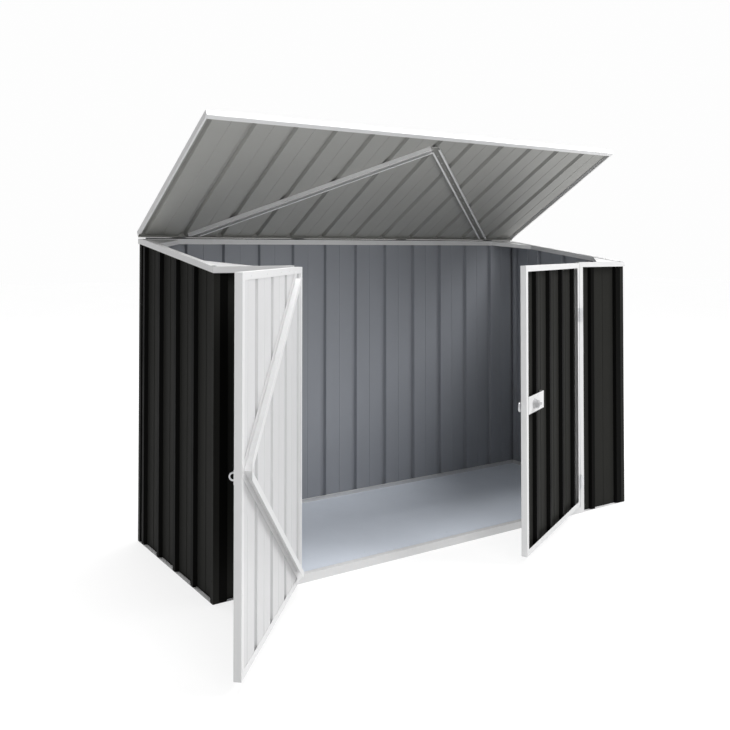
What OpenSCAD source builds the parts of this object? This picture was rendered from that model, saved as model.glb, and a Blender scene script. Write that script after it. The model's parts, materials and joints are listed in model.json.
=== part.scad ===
/* [Body] */
// width over the rails
body_w = 2260; // [2100:10:2500]
// depth over the rails
body_d = 820; // [760:10:960]
// height of the front rails
front_h = 1220; // [1120:10:1260]
// height of the back rail
back_h = 1330; // [1300:10:1420]

/* [Frame channels] */
// width of every frame channel across the wall
rail_w = 24; // [22:1:30]
// visible face height of every frame channel
rail_face = 24; // [20:1:32]
// steel thickness of the frame channels
rail_t = 1.0; // [0.8:0.1:1.5]
// width of the door jambs along the front
jamb_w = 25; // [22:1:30]
// width of the four corner gussets from the outer corner
gusset_w = 180; // [120:5:200]
// height of the folded gusset edges
gusset_lip = 20; // [12:1:22]
// depth of the gusset plates below the roof plane
gusset_drop = 4.0; // [4:0.5:8]

/* [Ribbed sheets] */
// steel thickness of the ribbed sheets
sheet_t = 0.8; // [0.6:0.1:1.0]
// height of the ribs
rib_h = 16; // [12:1:17]
// width of a rib at its foot
rib_base = 34; // [30:1:40]
// width of a rib at its crest
rib_crest = 22; // [16:1:24]
// width of the fine flute in the middle of each pan
flute_w = 6; // [5:0.5:10]
// height of the fine flute
flute_h = 1.5; // [1:0.25:2]
// distance of the last rib from a body corner
corner_rib = 20; // [19:1:24]
// leg of the corner angles
angle_leg = 24; // [20:1:26]
// height of the free edges of a side lap above the pan
lap_edge = 4; // [3:0.5:6]

/* [Base] */
// height of the base rails
base_h = 52; // [44:1:70]
// inward return of the base rails
base_return = 9; // [6:0.5:14]
// height of the floor surface
floor_z = 33; // [28:1:36]
// depth of the folded floor edges
floor_fold = 20; // [12:1:24]
// height of the door sill
sill_h = 32; // [26:1:33]
// number of floor bearers
bearer_n = 5; // [3:1:7]
// crown width of a floor bearer
bearer_w = 60; // [40:5:80]
// foot width of a floor bearer
bearer_foot = 15; // [10:1:20]
// distance of the outer floor bearers from the body's ends
bearer_in = 250; // [200:10:300]

/* [Doors] */
// width of one door
door_w = 791; // [720:1:810]
// height of the door's lower edge
door_z = 36; // [35:1:50]
// distance of the door's upper edge below the front rails
door_drop = 5; // [5:1:12]
// first rib from the hinge edge of a door
door_rib = 70; // [60:1:90]
// distance of the last rib from the free edge of a door
door_rib_end = 156; // [150:1:165]
// opening angle of the left door
left_open = 132.2; // [0:0.1:170]
// opening angle of the right door
right_open = 26.6; // [0:0.1:170]
// height where the left door's braces meet
left_apex_z = 637; // [560:1:700]
// height where the right door's braces meet
right_apex_z = 450; // [400:1:460]

/* [Lid] */
// length of the lid along its slope
lid_len = 878; // [850:1:1040]
// height of the lid edge channels
trim_h = 24; // [23:1:32]
// width of the narrow lower lips at the lid's sides and back
trim_lip = 8; // [6:1:12]
// how far the back channel of the lid reaches below its other edges
trim_tail = 5; // [0:0.5:5]
// clearance of the closed lid above the roof plane
lid_gap = 4; // [4:0.5:8]
// opening angle of the lid
lid_open = 38.0; // [0:0.1:68]
// distance of the brace feet from the lid's ends
lid_foot_in = 255; // [230:1:300]
// distance of the outer hinges from the lid's ends
lid_hinge_in = 190; // [150:5:260]

/* [Braces] */
// width of the door brace channels on the door
brace_w = 22; // [18:1:26]
// depth of the door brace channels
brace_d = 26; // [20:1:28]
// width of the lid brace channels
lid_brace_w = 40; // [30:1:44]
// depth of the lid brace channels
lid_brace_d = 18; // [12:1:18]
// steel thickness of the brace channels
brace_t = 1.0; // [0.8:0.1:1.5]
// length of the tab that fastens a door brace to the door's rail
brace_tab = 24; // [20:1:30]
// distance of a door brace's top end from the hinge edge
brace_top_in = 120; // [90:1:180]
// distance of a door brace's lower end from the hinge edge
brace_low_in = 82; // [70:1:120]
// distance of the left door's brace walls from the free edge
left_wall_in = 18; // [14:1:24]
// distance of the right door's brace walls from the free edge, clear of the catch
right_wall_in = 82; // [78:1:100]
// start of the brace walls of the right door, from its hinge edge, clear of the doorway
right_foot_in = 124; // [122:1:140]

/* [Hinges] */
// height of a hinge
hinge_len = 65; // [50:1:90]
// radius of a hinge pin
pin_r = 2.0; // [1.6:0.1:2.2]
// outer radius of the hinge knuckles
knuckle_r = 4.0; // [3.6:0.1:4.2]
// thickness of the hinge leaves
leaf_t = 1.5; // [1.2:0.1:1.6]
// width of a hinge leaf
leaf_w = 18; // [14:1:18]
// distance of a hinge axis from the face it stands on
axis_off = 5.0; // [4.8:0.1:5.5]
// height of the lower door hinges
hinge_low = 152; // [130:1:260]
// height of the upper door hinges
hinge_high = 963; // [860:1:1040]

/* [Latch] */
// height of the latch axis
latch_z = 639; // [620:1:700]
// distance of the latch axis from the free edge of the right door
latch_in = 109; // [100:1:115]
// width of the latch plate
plate_w = 196; // [190:1:200]
// height of the latch plate
plate_h = 72; // [60:1:90]
// distance of the latch plate from the free edge
plate_in = 42; // [40:1:46]
// thickness of the latch plate
plate_t = 1.5; // [1.2:0.1:2]
// radius of the knob's base
knob_r = 21; // [18:0.5:24]
// radius of the latch spindle
spindle_r = 6; // [5:0.5:7]
// radius of the bushing around the spindle
bush_r = 9; // [8.5:0.5:10]
// reach of the catch past the free edge
cam_reach = 20; // [16:0.5:22]
// thickness of the catch
cam_t = 3; // [2:0.5:4]
// radius of the catch's round end
cam_r = 20; // [16:0.5:21]
// height of the staple on the left door
staple_z = 621; // [600:1:700]
// rod radius of the staple
staple_rod = 2.5; // [2:0.25:3]
// bend radius of the staple
staple_r = 11; // [9:0.5:14]

/* [Clearances] */
// gap between a seated part and its seat
seat = 0.3; // [0.2:0.05:0.4]
// gap between two lapped sheets
lap_gap = 0.2; // [0.15:0.05:0.3]
// gap between the corner angles and the sheets
angle_gap = 0.1; // [0.1:0.05:0.3]
// radial gap around pins and the spindle
pin_gap = 0.05; // [0.02:0.01:0.1]
// gap between two knuckles of a hinge
knuckle_gap = 0.6; // [0.4:0.1:1]
// gap between a hinge leaf and the face behind it
leaf_gap = 0.2; // [0.1:0.05:0.3]
// gap between a door edge and its hinge axis, also half the gap between the doors
door_edge = 2; // [2:0.25:3]

/* [Hidden] */
$fn = 32;
hw = body_w / 2;
hd = body_d / 2;
roof_tan = (back_h - front_h) / (body_d - rail_w);
roof_a = atan(roof_tan);
pan_d = rail_w - rail_t - seat - sheet_t;
crest_d = pan_d - rib_h;
angle_d = crest_d - angle_gap - sheet_t;
lap = sheet_t + lap_gap;
rib_run = (rib_base - rib_crest) / 2;
rib_bays = 12;
lap_bays = 4;
pitch_x = (body_w - 2 * corner_rib) / rib_bays;
end_rib_y = 60;
end_bays = 4;
pitch_y = (body_d - corner_rib - end_rib_y) / end_bays;
side_rib = 50;
angle_play = 1.7;
sheet_end = angle_d + sheet_t + angle_play;
lap_play = 1;
foot_z = rail_t + seat;
hinge_x = door_w + 2 * door_edge;
jamb_x = hinge_x + seat;
jamb_rib = 100;
side_pitch = hw - hinge_x - side_rib - jamb_rib;
door_top = front_h - door_drop;
door_y0 = axis_off;
door_y1 = axis_off + rail_w;
door_x0 = door_edge;
door_x1 = door_edge + door_w;
door_bays = 3;
pitch_door = (door_w - door_rib - door_rib_end) / door_bays;
lid_axis_y = hd + axis_off;
hinge_rise = 2;
lid_axis_z = back_h + hinge_rise;
lid_axis_n = (front_h + (lid_axis_y + hd) * roof_tan - lid_axis_z) * cos(roof_a);
lid_yb = -axis_off;
lid_yf = lid_yb - lid_len;
lid_z0 = lid_axis_n + lid_gap;
lid_z1 = lid_z0 + trim_h;
lid_pan = lid_z1 - rail_t - seat - lap - rib_h;
lid_brace_z = lid_pan - sheet_t - seat;
rail_clear = 3;
lid_brace_yb = lid_yb - rail_w - rail_clear;
lid_brace_yf = -(lid_axis_y + hd - rail_w - rail_clear) / cos(roof_a);
lid_hinge_far = hw - lid_hinge_in;
lid_hinge_share = 0.34;
lid_hinge_near = lid_hinge_far * lid_hinge_share;
lid_hinge_xs = [-lid_hinge_far, -lid_hinge_near, lid_hinge_near, lid_hinge_far];
leaf_start = 1;
leaf_x = knuckle_r + leaf_start;
leaf_y = axis_off - leaf_gap - leaf_t;
pin_over = 1;
pin_head_r = 3.2;
pin_head_h = 1.5;
brace_seat = 0.1;
brace_end = 3;
brace_apex_in = 18;
brace_meet = 0.6 * brace_w;
brace_top_drop = 33;
brace_low_rise = 40;
latch_x = door_x1 - latch_in;
plate_x1 = door_x1 - plate_in;
plate_x0 = plate_x1 - plate_w;
plate_y = axis_off + crest_d - seat - plate_t;
knob_y = plate_y - seat;
knob_foot_h = 8;
knob_body_h = 12;
knob_grip_h = 8;
knob_taper = 2;
knob_step = 5;
knob_grip_t = 10;
slot_w = 2;
slot_l = 7;
slot_d = 3;
cam_gap = 2;
cam_y = door_y1 + cam_gap;
cam_hub_r = 13;
cam_bar = 22;
nut_t = 5;
nut_r = 10;
spindle_over = 1;
spindle_y = cam_y + cam_t + seat + nut_t + spindle_over;
staple_x = door_x1 - rail_w / 2;
staple_plate_w = 20;
staple_plate_h = 44;
staple_leg = 4.4;
black = [0.09, 0.09, 0.1];
white = [0.92, 0.93, 0.93];
grey = [0.62, 0.64, 0.66];
steel = [0.75, 0.76, 0.78];

// roof plane height at a depth, level over the back rail
function roof_z(y) = min(back_h, front_h + (y + hd) * roof_tan);

// half width of a raised trapezoid at a height, for a line offset outward by o
function bump_w(z, o, b, h, k) = b - z * k / h + o * sqrt(1 + (k / h) * (k / h));

// offset line over a raised trapezoid centred at c, entered at z0 and left at z1
function bump(c, o, z0, z1, b, h, k) = [
  [c - bump_w(z0, o, b, h, k), z0],
  [c - bump_w(h + o, o, b, h, k), h + o],
  [c + bump_w(h + o, o, b, h, k), h + o],
  [c + bump_w(z1, o, b, h, k), z1]
];

// line over one rib, o is the offset and z the pan level of that line
function rib(c, o, z0, z1) = bump(c, o, z0, z1, rib_base / 2, rib_h, rib_run);

// line over one fine flute
function flute(c, o) = bump(c, o, o, o, flute_w / 2, flute_h, flute_h);

// flute and rib pairs, n times, first rib at c
function bays(c, p, n, o) = [
  for (i = [0 : n - 1]) each concat(flute(c + (i - 0.5) * p, o), rib(c + i * p, o, o, o))
];

// right half of a rib whose crest runs out to s
function half_start(c, s, o) = [
  [s, rib_h + o],
  [c + bump_w(rib_h + o, o, rib_base / 2, rib_h, rib_run), rib_h + o],
  [c + bump_w(o, o, rib_base / 2, rib_h, rib_run), o]
];

// left half of a rib whose crest runs out to s
function half_end(c, s, o) = [
  [c - bump_w(o, o, rib_base / 2, rib_h, rib_run), o],
  [c - bump_w(rib_h + o, o, rib_base / 2, rib_h, rib_run), rib_h + o],
  [s, rib_h + o]
];

// rib that laps over the neighbour's rib
function over_rib(c, o) = rib(c, o + lap, lap_edge, o);

// rib that lies under the neighbour's rib
function under_rib(c, o) = rib(c, o, o, lap_edge);

// one face of a lapped sheet, part 0 left, 1 middle, 2 right
function lapped_line(part, s, o) =
  part == 0
  ? concat(
      half_start(-hw + corner_rib, -hw + s, o),
      bays(-hw + corner_rib + pitch_x, pitch_x, lap_bays - 1, o),
      flute(-hw + corner_rib + (lap_bays - 0.5) * pitch_x, o),
      under_rib(-hw + corner_rib + lap_bays * pitch_x, o))
  : part == 1
  ? concat(
      over_rib(-hw + corner_rib + lap_bays * pitch_x, o),
      bays(-hw + corner_rib + (lap_bays + 1) * pitch_x, pitch_x, lap_bays - 1, o),
      flute(-hw + corner_rib + (2 * lap_bays - 0.5) * pitch_x, o),
      under_rib(-hw + corner_rib + 2 * lap_bays * pitch_x, o))
  : concat(
      over_rib(-hw + corner_rib + 2 * lap_bays * pitch_x, o),
      bays(-hw + corner_rib + (2 * lap_bays + 1) * pitch_x, pitch_x, lap_bays - 1, o),
      flute(-hw + corner_rib + (3 * lap_bays - 0.5) * pitch_x, o),
      half_end(hw - corner_rib, hw - s, o));

// one face of the left end sheet, along the depth
function end_line(o) = concat(
  half_start(-hd + corner_rib, -hd + sheet_end, o),
  bays(-hd + corner_rib + pitch_y, pitch_y, end_bays, o),
  half_end(hd - angle_d - angle_leg + rib_base / 2 + lap_play, hd - sheet_end, o));

// one face of the front left sheet, along the width
function side_line(o) = concat(
  half_start(-hw + side_rib, -hw + sheet_end, o),
  bays(-hw + side_rib + side_pitch, side_pitch, 1, o),
  [[-jamb_x - rail_t - seat, o]]);

// one face of a door sheet, from the hinge edge to the free edge
function door_line(o) = concat(
  [[door_x0 + rail_t + seat, o]],
  rib(door_x0 + door_rib, o, o, o),
  bays(door_x0 + door_rib + pitch_door, pitch_door, door_bays, o),
  flute(door_x1 - door_rib_end + pitch_door / 2, o),
  [[door_x1 - rail_t - seat, o]]);

// closed outline from the two faces of a sheet
function skin(outer, inner) = concat(outer, [for (i = [len(inner) - 1 : -1 : 0]) inner[i]]);

module box(x0, x1, y0, y1, z0, z1)
  translate([x0, y0, z0])
    cube([x1 - x0, y1 - y0, z1 - z0]);

// plate between two widths with an outline in depth and height
module side_plate(x0, x1, outline)
  translate([x0, 0, 0])
    rotate([90, 0, 90])
      linear_extrude(height = x1 - x0)
        polygon(outline);

// layer parallel to the roof plane
module roof_layer(n0, n1)
  translate([0, -hd, front_h])
    rotate([roof_a, 0, 0])
      translate([-body_w, -body_d, n0])
        cube([2 * body_w, 3 * body_d, n1 - n0]);

module at_left_door()
  translate([-hinge_x, -hd - axis_off, 0])
    rotate([0, 0, -left_open])
      children();

module at_right_door()
  mirror([1, 0, 0])
    translate([-hinge_x, -hd - axis_off, 0])
      rotate([0, 0, -right_open])
        children();

module at_lid()
  translate([0, lid_axis_y, lid_axis_z])
    rotate([roof_a - lid_open, 0, 0])
      children();

// turns a shape drawn flat into the plane of a door, rising inward from y
module on_door(y)
  translate([0, y, 0])
    mirror([0, 1, 0])
      rotate([90, 0, 0])
        children();

// base

module floor_panel() {
  fx = hw - rail_w - seat;
  fy = hd - rail_w - seat;
  color(grey) {
    box(-fx, fx, -fy, fy, floor_z - rail_t, floor_z);
    box(-fx, fx, -fy, -fy + rail_t, floor_z - floor_fold, floor_z);
    box(-fx, fx, fy - rail_t, fy, floor_z - floor_fold, floor_z);
    box(-fx, -fx + rail_t, -fy, fy, floor_z - floor_fold, floor_z);
    box(fx - rail_t, fx, -fy, fy, floor_z - floor_fold, floor_z);
  }
}

// hat section, crown on the ground and flanges under the floor
module floor_bearer(x) {
  by = hd - rail_w - rail_t - 2 * seat;
  bt = floor_z - rail_t - seat;
  half = bearer_w / 2;
  translate([x, 0, 0]) {
    box(-half, half, -by, by, 0, rail_t);
    box(-half, -half + rail_t, -by, by, 0, bt);
    box(half - rail_t, half, -by, by, 0, bt);
    box(-half - bearer_foot, -half + rail_t, -by, by, bt - rail_t, bt);
    box(half - rail_t, half + bearer_foot, -by, by, bt - rail_t, bt);
  }
}

module floor_bearers() {
  first = -hw + bearer_in;
  span = -2 * first / (bearer_n - 1);
  color(steel)
    for (i = [0 : bearer_n - 1])
      floor_bearer(first + i * span);
}

module front_sill() {
  sx = hinge_x;
  color(white) {
    box(-sx, sx, -hd, -hd + rail_t, 0, sill_h);
    box(-sx, sx, -hd, -hd + rail_w, 0, rail_t);
    box(-sx, sx, -hd, -hd + rail_w, sill_h - rail_t, sill_h);
    box(-sx, sx, -hd + rail_w - rail_t, -hd + rail_w, sill_h / 2, sill_h);
  }
}

module back_base_rail() {
  rx = hw - rail_w - seat;
  color(white) {
    box(-rx, rx, hd - rail_w, hd - crest_d, 0, rail_t);
    box(-rx, rx, hd - rail_w, hd - rail_w + rail_t, 0, base_h);
    box(-rx, rx, hd - rail_w + rail_t - base_return, hd - rail_w + rail_t, base_h - rail_t, base_h);
  }
}

module left_base_rail() {
  ry = hd - rail_w + rail_t - base_return - seat;
  color(white) {
    box(-hw + crest_d, -hw + rail_w, -hd + crest_d, hd - crest_d, 0, rail_t);
    box(-hw + rail_w - rail_t, -hw + rail_w, -hd + rail_w - rail_t, hd - rail_w + rail_t, 0, base_h);
    box(-hw + rail_w - rail_t, -hw + rail_w - rail_t + base_return, -ry, ry, base_h - rail_t, base_h);
  }
}

module right_base_rail()
  mirror([1, 0, 0])
    left_base_rail();

module front_base_rails() {
  x0 = -hw + rail_w + seat;
  x1 = -jamb_x - jamb_w - seat;
  color(white)
    for (m = [0, 1])
      mirror([m, 0, 0]) {
        box(x0, x1, -hd + crest_d, -hd + rail_w, 0, rail_t);
        box(x0, x1, -hd + rail_w - rail_t, -hd + rail_w, 0, base_h);
        box(
          x0, x1, -hd + rail_w - rail_t, -hd + rail_w - rail_t + base_return,
          base_h - rail_t, base_h);
      }
}

// standing frame

module left_jamb() {
  lip_top = front_h - rail_face - seat;
  color(white) {
    box(-jamb_x - rail_t, -jamb_x, -hd, -hd + rail_w, 0, lip_top);
    box(-jamb_x - jamb_w, -jamb_x, -hd, -hd + rail_t, 0, lip_top);
    box(-jamb_x - jamb_w, -jamb_x, -hd + rail_w - rail_t, -hd + rail_w, 0, lip_top);
    box(
      -jamb_x - rail_t, -jamb_x, -hd + rail_t + seat, -hd + rail_w - rail_t - seat,
      lip_top - rail_t, front_h - rail_t - seat);
  }
}

module right_jamb()
  mirror([1, 0, 0])
    left_jamb();

module back_top_rail() {
  rx = hw - rail_t - seat;
  ix = hw - rail_w;
  color(white) {
    box(-rx, rx, hd - rail_w, hd, back_h - rail_t, back_h);
    box(-rx, rx, hd - rail_t, hd, back_h - rail_face, back_h);
    box(-ix, ix, hd - rail_w, hd - rail_w + rail_t, back_h - rail_face, back_h);
  }
}

module left_top_rail() {
  y0 = -hd + rail_w + seat;
  y1 = hd - rail_w - seat;
  z0 = roof_z(y0);
  z1 = roof_z(y1);
  lip = [
    [-hd, front_h - rail_face], [-hd, front_h], [hd - rail_w, back_h], [hd, back_h],
    [hd, back_h - rail_face], [hd - rail_w, back_h - rail_face]
  ];
  color(white) {
    side_plate(-hw, -hw + rail_t, lip);
    side_plate(-hw, -hw + rail_w, [[y0, z0 - rail_t], [y0, z0], [y1, z1], [y1, z1 - rail_t]]);
    side_plate(
      -hw + rail_w - rail_t, -hw + rail_w,
      [[y0, z0 - rail_face], [y0, z0], [y1, z1], [y1, z1 - rail_face]]);
  }
}

module right_top_rail()
  mirror([1, 0, 0])
    left_top_rail();

module front_left_top_rail() {
  x0 = -hw + rail_t + seat;
  color(white) {
    box(x0, -jamb_x, -hd, -hd + rail_w, front_h - rail_t, front_h);
    box(x0, -jamb_x, -hd, -hd + rail_t, front_h - rail_face, front_h);
    box(-hw + rail_w, -jamb_x, -hd + rail_w - rail_t, -hd + rail_w, front_h - rail_face, front_h);
  }
}

module front_right_top_rail()
  mirror([1, 0, 0])
    front_left_top_rail();

// wall sheets

module back_sheet(part)
  color(black)
    translate([0, 0, foot_z])
      linear_extrude(height = back_h - rail_t - seat - foot_z)
        polygon([
          for (p = skin(lapped_line(part, sheet_end, 0), lapped_line(part, sheet_end, -sheet_t)))
            [p[0], hd - pan_d + p[1]]
        ]);

module back_sheet_left()
  back_sheet(0);

module back_sheet_middle()
  back_sheet(1);

module back_sheet_right()
  back_sheet(2);

module left_end_sheet() {
  drop = rail_t + seat;
  color(black)
    intersection() {
      linear_extrude(height = back_h)
        polygon([for (p = skin(end_line(0), end_line(-sheet_t))) [-hw + pan_d - p[1], p[0]]]);
      side_plate(-hw, -hw + rail_w, [
        [-hd, foot_z], [-hd, front_h - drop], [-hd + rail_w + seat, front_h - drop],
        [-hd + rail_w + seat, roof_z(-hd + rail_w + seat) - drop],
        [hd - rail_w, back_h - drop], [hd, back_h - drop], [hd, foot_z]
      ]);
    }
}

module right_end_sheet()
  mirror([1, 0, 0])
    left_end_sheet();

module front_left_sheet()
  color(black)
    translate([0, 0, foot_z])
      linear_extrude(height = front_h - rail_t - seat - foot_z)
        polygon([for (p = skin(side_line(0), side_line(-sheet_t))) [p[0], -hd + pan_d - p[1]]]);

module front_right_sheet()
  mirror([1, 0, 0])
    front_left_sheet();

// corner angle with its corner toward negative x and y
module corner_angle(top) {
  box(0, angle_leg, 0, sheet_t, foot_z, top);
  box(0, sheet_t, 0, angle_leg, foot_z, top);
}

module front_corner_angles()
  color(black)
    for (m = [0, 1])
      mirror([m, 0, 0])
        translate([-hw + angle_d, -hd + angle_d, 0])
          corner_angle(front_h - rail_t - seat);

module back_corner_angles()
  color(black)
    for (m = [0, 1])
      mirror([m, 0, 0])
        translate([-hw + angle_d, hd - angle_d, 0])
          mirror([0, 1, 0])
            corner_angle(roof_z(hd - angle_d - angle_leg) - rail_t - seat);

// outline strips of a gusset, leg g
module gusset_edges(g) {
  fold = rail_t * sqrt(2);
  polygon([[g, 0], [0, g], [0, g - fold], [g - fold, 0]]);
  square([g, rail_t]);
  square([rail_t, g]);
}

module gusset(front) {
  g = gusset_w - rail_w - seat;
  intersection() {
    translate([-hw + rail_w + seat, front * (-hd + rail_w + seat), 0])
      mirror([0, front > 0 ? 0 : 1, 0])
        linear_extrude(height = 2 * back_h)
          polygon([[0, 0], [g, 0], [0, g]]);
    roof_layer(-gusset_drop - rail_t, -gusset_drop);
  }
  intersection() {
    translate([-hw + rail_w + seat, front * (-hd + rail_w + seat), 0])
      mirror([0, front > 0 ? 0 : 1, 0])
        linear_extrude(height = 2 * back_h)
          intersection() {
            gusset_edges(g);
            polygon([[0, 0], [g, 0], [0, g]]);
          }
    roof_layer(-gusset_drop - gusset_lip, -gusset_drop);
  }
}

module front_gussets()
  color(white)
    for (m = [0, 1])
      mirror([m, 0, 0])
        gusset(1);

module back_gussets()
  color(white)
    for (m = [0, 1])
      mirror([m, 0, 0])
        gusset(-1);

// hinges, axis upward through the origin

module knuckle(z0, z1) {
  translate([0, 0, z0])
    cylinder(r = knuckle_r, h = z1 - z0);
  box(0, leaf_x + leaf_start, leaf_y, leaf_y + leaf_t, z0, z1);
}

module moving_leaf() {
  k = hinge_len / 6 - knuckle_gap / 2;
  difference() {
    union() {
      box(leaf_x, leaf_x + leaf_w, leaf_y, leaf_y + leaf_t, -hinge_len / 2, hinge_len / 2);
      knuckle(-k, k);
    }
    translate([0, 0, -hinge_len])
      cylinder(r = pin_r + pin_gap, h = 2 * hinge_len);
  }
}

module fixed_leaf() {
  k = hinge_len / 6 + knuckle_gap / 2;
  difference() {
    union() {
      box(-leaf_x - leaf_w, -leaf_x, leaf_y, leaf_y + leaf_t, -hinge_len / 2, hinge_len / 2);
      mirror([1, 0, 0])
        knuckle(k, hinge_len / 2);
      mirror([1, 0, 0])
        knuckle(-hinge_len / 2, -k);
    }
    translate([0, 0, -hinge_len])
      cylinder(r = pin_r + pin_gap, h = 2 * hinge_len);
  }
}

module hinge_pin() {
  translate([0, 0, -hinge_len / 2 - pin_over])
    cylinder(r = pin_r, h = hinge_len + 2 * pin_over + pin_head_h);
  translate([0, 0, hinge_len / 2 + seat])
    cylinder(r = pin_head_r, h = pin_head_h);
}

// turns an upright hinge onto the lid's axis
module lay_hinge(x)
  translate([x, 0, 0])
    rotate([180, 0, 0])
      rotate([0, 90, 0])
        children();

module lid_hinge_fixed_leaves()
  color(steel)
    translate([0, lid_axis_y, lid_axis_z])
      for (x = lid_hinge_xs)
        lay_hinge(x)
          fixed_leaf();

module lid_hinge_pins()
  color(steel)
    translate([0, lid_axis_y, lid_axis_z])
      for (x = lid_hinge_xs)
        lay_hinge(x)
          hinge_pin();

module door_hinge_fixed_leaves()
  color(steel)
    for (m = [0, 1])
      mirror([m, 0, 0])
        for (z = [hinge_low, hinge_high])
          translate([-hinge_x, -hd - axis_off, z])
            fixed_leaf();

module door_hinge_pins()
  color(steel)
    for (m = [0, 1])
      mirror([m, 0, 0])
        for (z = [hinge_low, hinge_high])
          translate([-hinge_x, -hd - axis_off, z])
            hinge_pin();

// lid

module lid_sheet(part) {
  edge = rail_t + seat;
  color(black)
    at_lid()
      translate([0, lid_yb - edge, lid_pan])
        rotate([90, 0, 0])
          linear_extrude(height = lid_len - 2 * edge)
            polygon(skin(lapped_line(part, edge, 0), lapped_line(part, edge, -sheet_t)));
}

module lid_sheet_left()
  lid_sheet(0);

module lid_sheet_middle()
  lid_sheet(1);

module lid_sheet_right()
  lid_sheet(2);

module lid_front_trim() {
  tx = hw - rail_t - seat;
  color(white)
    at_lid() {
      box(-tx, tx, lid_yf, lid_yf + rail_t, lid_z0, lid_z1);
      box(-tx, tx, lid_yf, lid_yf + rail_w, lid_z0, lid_z0 + rail_t);
      box(-tx, tx, lid_yf, lid_yf + rail_w, lid_z1 - rail_t, lid_z1);
    }
}

module lid_back_trim() {
  tx = hw - rail_t - seat;
  tail_z = lid_z0 - trim_tail;
  color(white)
    at_lid() {
      box(-tx, tx, lid_yb - rail_t, lid_yb, tail_z, lid_z1);
      box(-tx, tx, lid_yb - trim_lip, lid_yb, tail_z, tail_z + rail_t);
      box(-tx, tx, lid_yb - rail_w, lid_yb, lid_z1 - rail_t, lid_z1);
    }
}

module lid_left_trim() {
  y0 = lid_yf + rail_w + seat;
  y1 = lid_yb - rail_w - seat;
  color(white)
    at_lid() {
      box(-hw, -hw + rail_t, lid_yf, lid_yb, lid_z0, lid_z1);
      box(-hw, -hw + trim_lip, y0, y1, lid_z0, lid_z0 + rail_t);
      box(-hw, -hw + rail_w, y0, y1, lid_z1 - rail_t, lid_z1);
    }
}

module lid_right_trim()
  mirror([1, 0, 0])
    lid_left_trim();

// places a bar drawn along x from p toward q
module along(p, q)
  translate([p[0], p[1], 0])
    rotate([0, 0, atan2(q[1] - p[1], q[0] - p[0])])
      children();

module lid_left_brace() {
  foot = [-hw + lid_foot_in, lid_brace_yb];
  apex = [0, lid_brace_yf + brace_end];
  run = norm(apex - foot) + 2 * lid_brace_w;
  color(white)
    at_lid()
      translate([0, 0, lid_brace_z])
        mirror([0, 0, 1])
          intersection() {
            along(foot, apex)
              translate([-lid_brace_w, -lid_brace_w / 2, 0])
                difference() {
                  cube([run, lid_brace_w, lid_brace_d]);
                  translate([-brace_t, brace_t, brace_t])
                    cube([run + 2 * brace_t, lid_brace_w - 2 * brace_t, lid_brace_d]);
                }
            box(-hw, -seat, lid_brace_yf, lid_brace_yb, 0, lid_brace_d);
          }
}

module lid_right_brace()
  mirror([1, 0, 0])
    lid_left_brace();

module lid_hinge_leaves()
  color(steel)
    at_lid()
      for (x = lid_hinge_xs)
        lay_hinge(x)
          moving_leaf();

// doors, x from the hinge axis, outer face toward negative y

module door_stile() {
  box(door_x0, door_x0 + rail_t, door_y0, door_y1, door_z, door_top);
  box(door_x0, door_x0 + rail_w, door_y0, door_y0 + rail_t, door_z, door_top);
  box(door_x0, door_x0 + rail_w, door_y1 - rail_t, door_y1, door_z, door_top);
}

module door_free_stile()
  translate([door_x0 + door_x1, 0, 0])
    mirror([1, 0, 0])
      door_stile();

// web level at the outer edge, lips toward the door's middle
module door_rail(z, up) {
  x0 = door_x0 + rail_w + seat;
  x1 = door_x1 - rail_w - seat;
  t0 = door_x0 + rail_t + seat;
  t1 = door_x1 - rail_t - seat;
  translate([0, 0, z])
    mirror([0, 0, up ? 0 : 1]) {
      box(x0, x1, door_y0, door_y1, 0, rail_t);
      box(x0, x1, door_y0, door_y0 + rail_t, 0, rail_face);
      box(x0, x1, door_y1 - rail_t, door_y1, 0, rail_face);
      box(t0, t1, door_y0 + rail_t + seat, door_y1 - rail_t - seat, 0, rail_t);
    }
}

module door_sheet()
  translate([0, 0, door_z + rail_t + seat])
    linear_extrude(height = door_top - door_z - 2 * rail_t - 2 * seat)
      polygon([for (p = skin(door_line(0), door_line(-sheet_t))) [p[0], door_y0 + pan_d - p[1]]]);

// channel from p to q standing on the door, open toward the free edge, cut level at z0 and z1
module door_brace(p, q, up, wall_in, foot_in, z0, z1) {
  run = norm(q - p) + 2 * brace_w;
  y0 = door_y1 + brace_seat;
  intersection() {
    on_door(y0)
      along(p, q)
        translate([-brace_tab, -brace_w / 2, 0])
          cube([run + brace_tab, brace_w, brace_t]);
    box(door_x0, door_x1 - brace_end, door_y0, y0 + brace_d, z0, z1);
  }
  intersection() {
    on_door(y0)
      along(p, q)
        mirror([0, up ? 0 : 1, 0])
          translate([0, -brace_w / 2, 0]) {
            cube([run, brace_t, brace_d]);
            translate([0, 0, brace_d - brace_t])
              cube([run, brace_w, brace_t]);
          }
    box(door_x0 + foot_in, door_x1 - wall_in, door_y0, y0 + brace_d, z0, z1);
  }
}

module upper_brace(apex_z, wall_in, foot_in = 0)
  door_brace(
    [door_x0 + brace_top_in, door_top - brace_top_drop],
    [door_x1 - brace_apex_in, apex_z + brace_meet],
    true, wall_in, foot_in, apex_z + seat, door_top - brace_end);

module lower_brace(apex_z, wall_in, foot_in = 0)
  door_brace(
    [door_x0 + brace_low_in, door_z + brace_low_rise],
    [door_x1 - brace_apex_in, apex_z - brace_meet],
    false, wall_in, foot_in, door_z + brace_end, apex_z);

module door_leaves()
  for (z = [hinge_low, hinge_high])
    translate([0, 0, z])
      moving_leaf();

module left_door_sheet()
  color(black)
    at_left_door()
      door_sheet();

module left_door_free_stile()
  color(white)
    at_left_door()
      door_free_stile();

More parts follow.
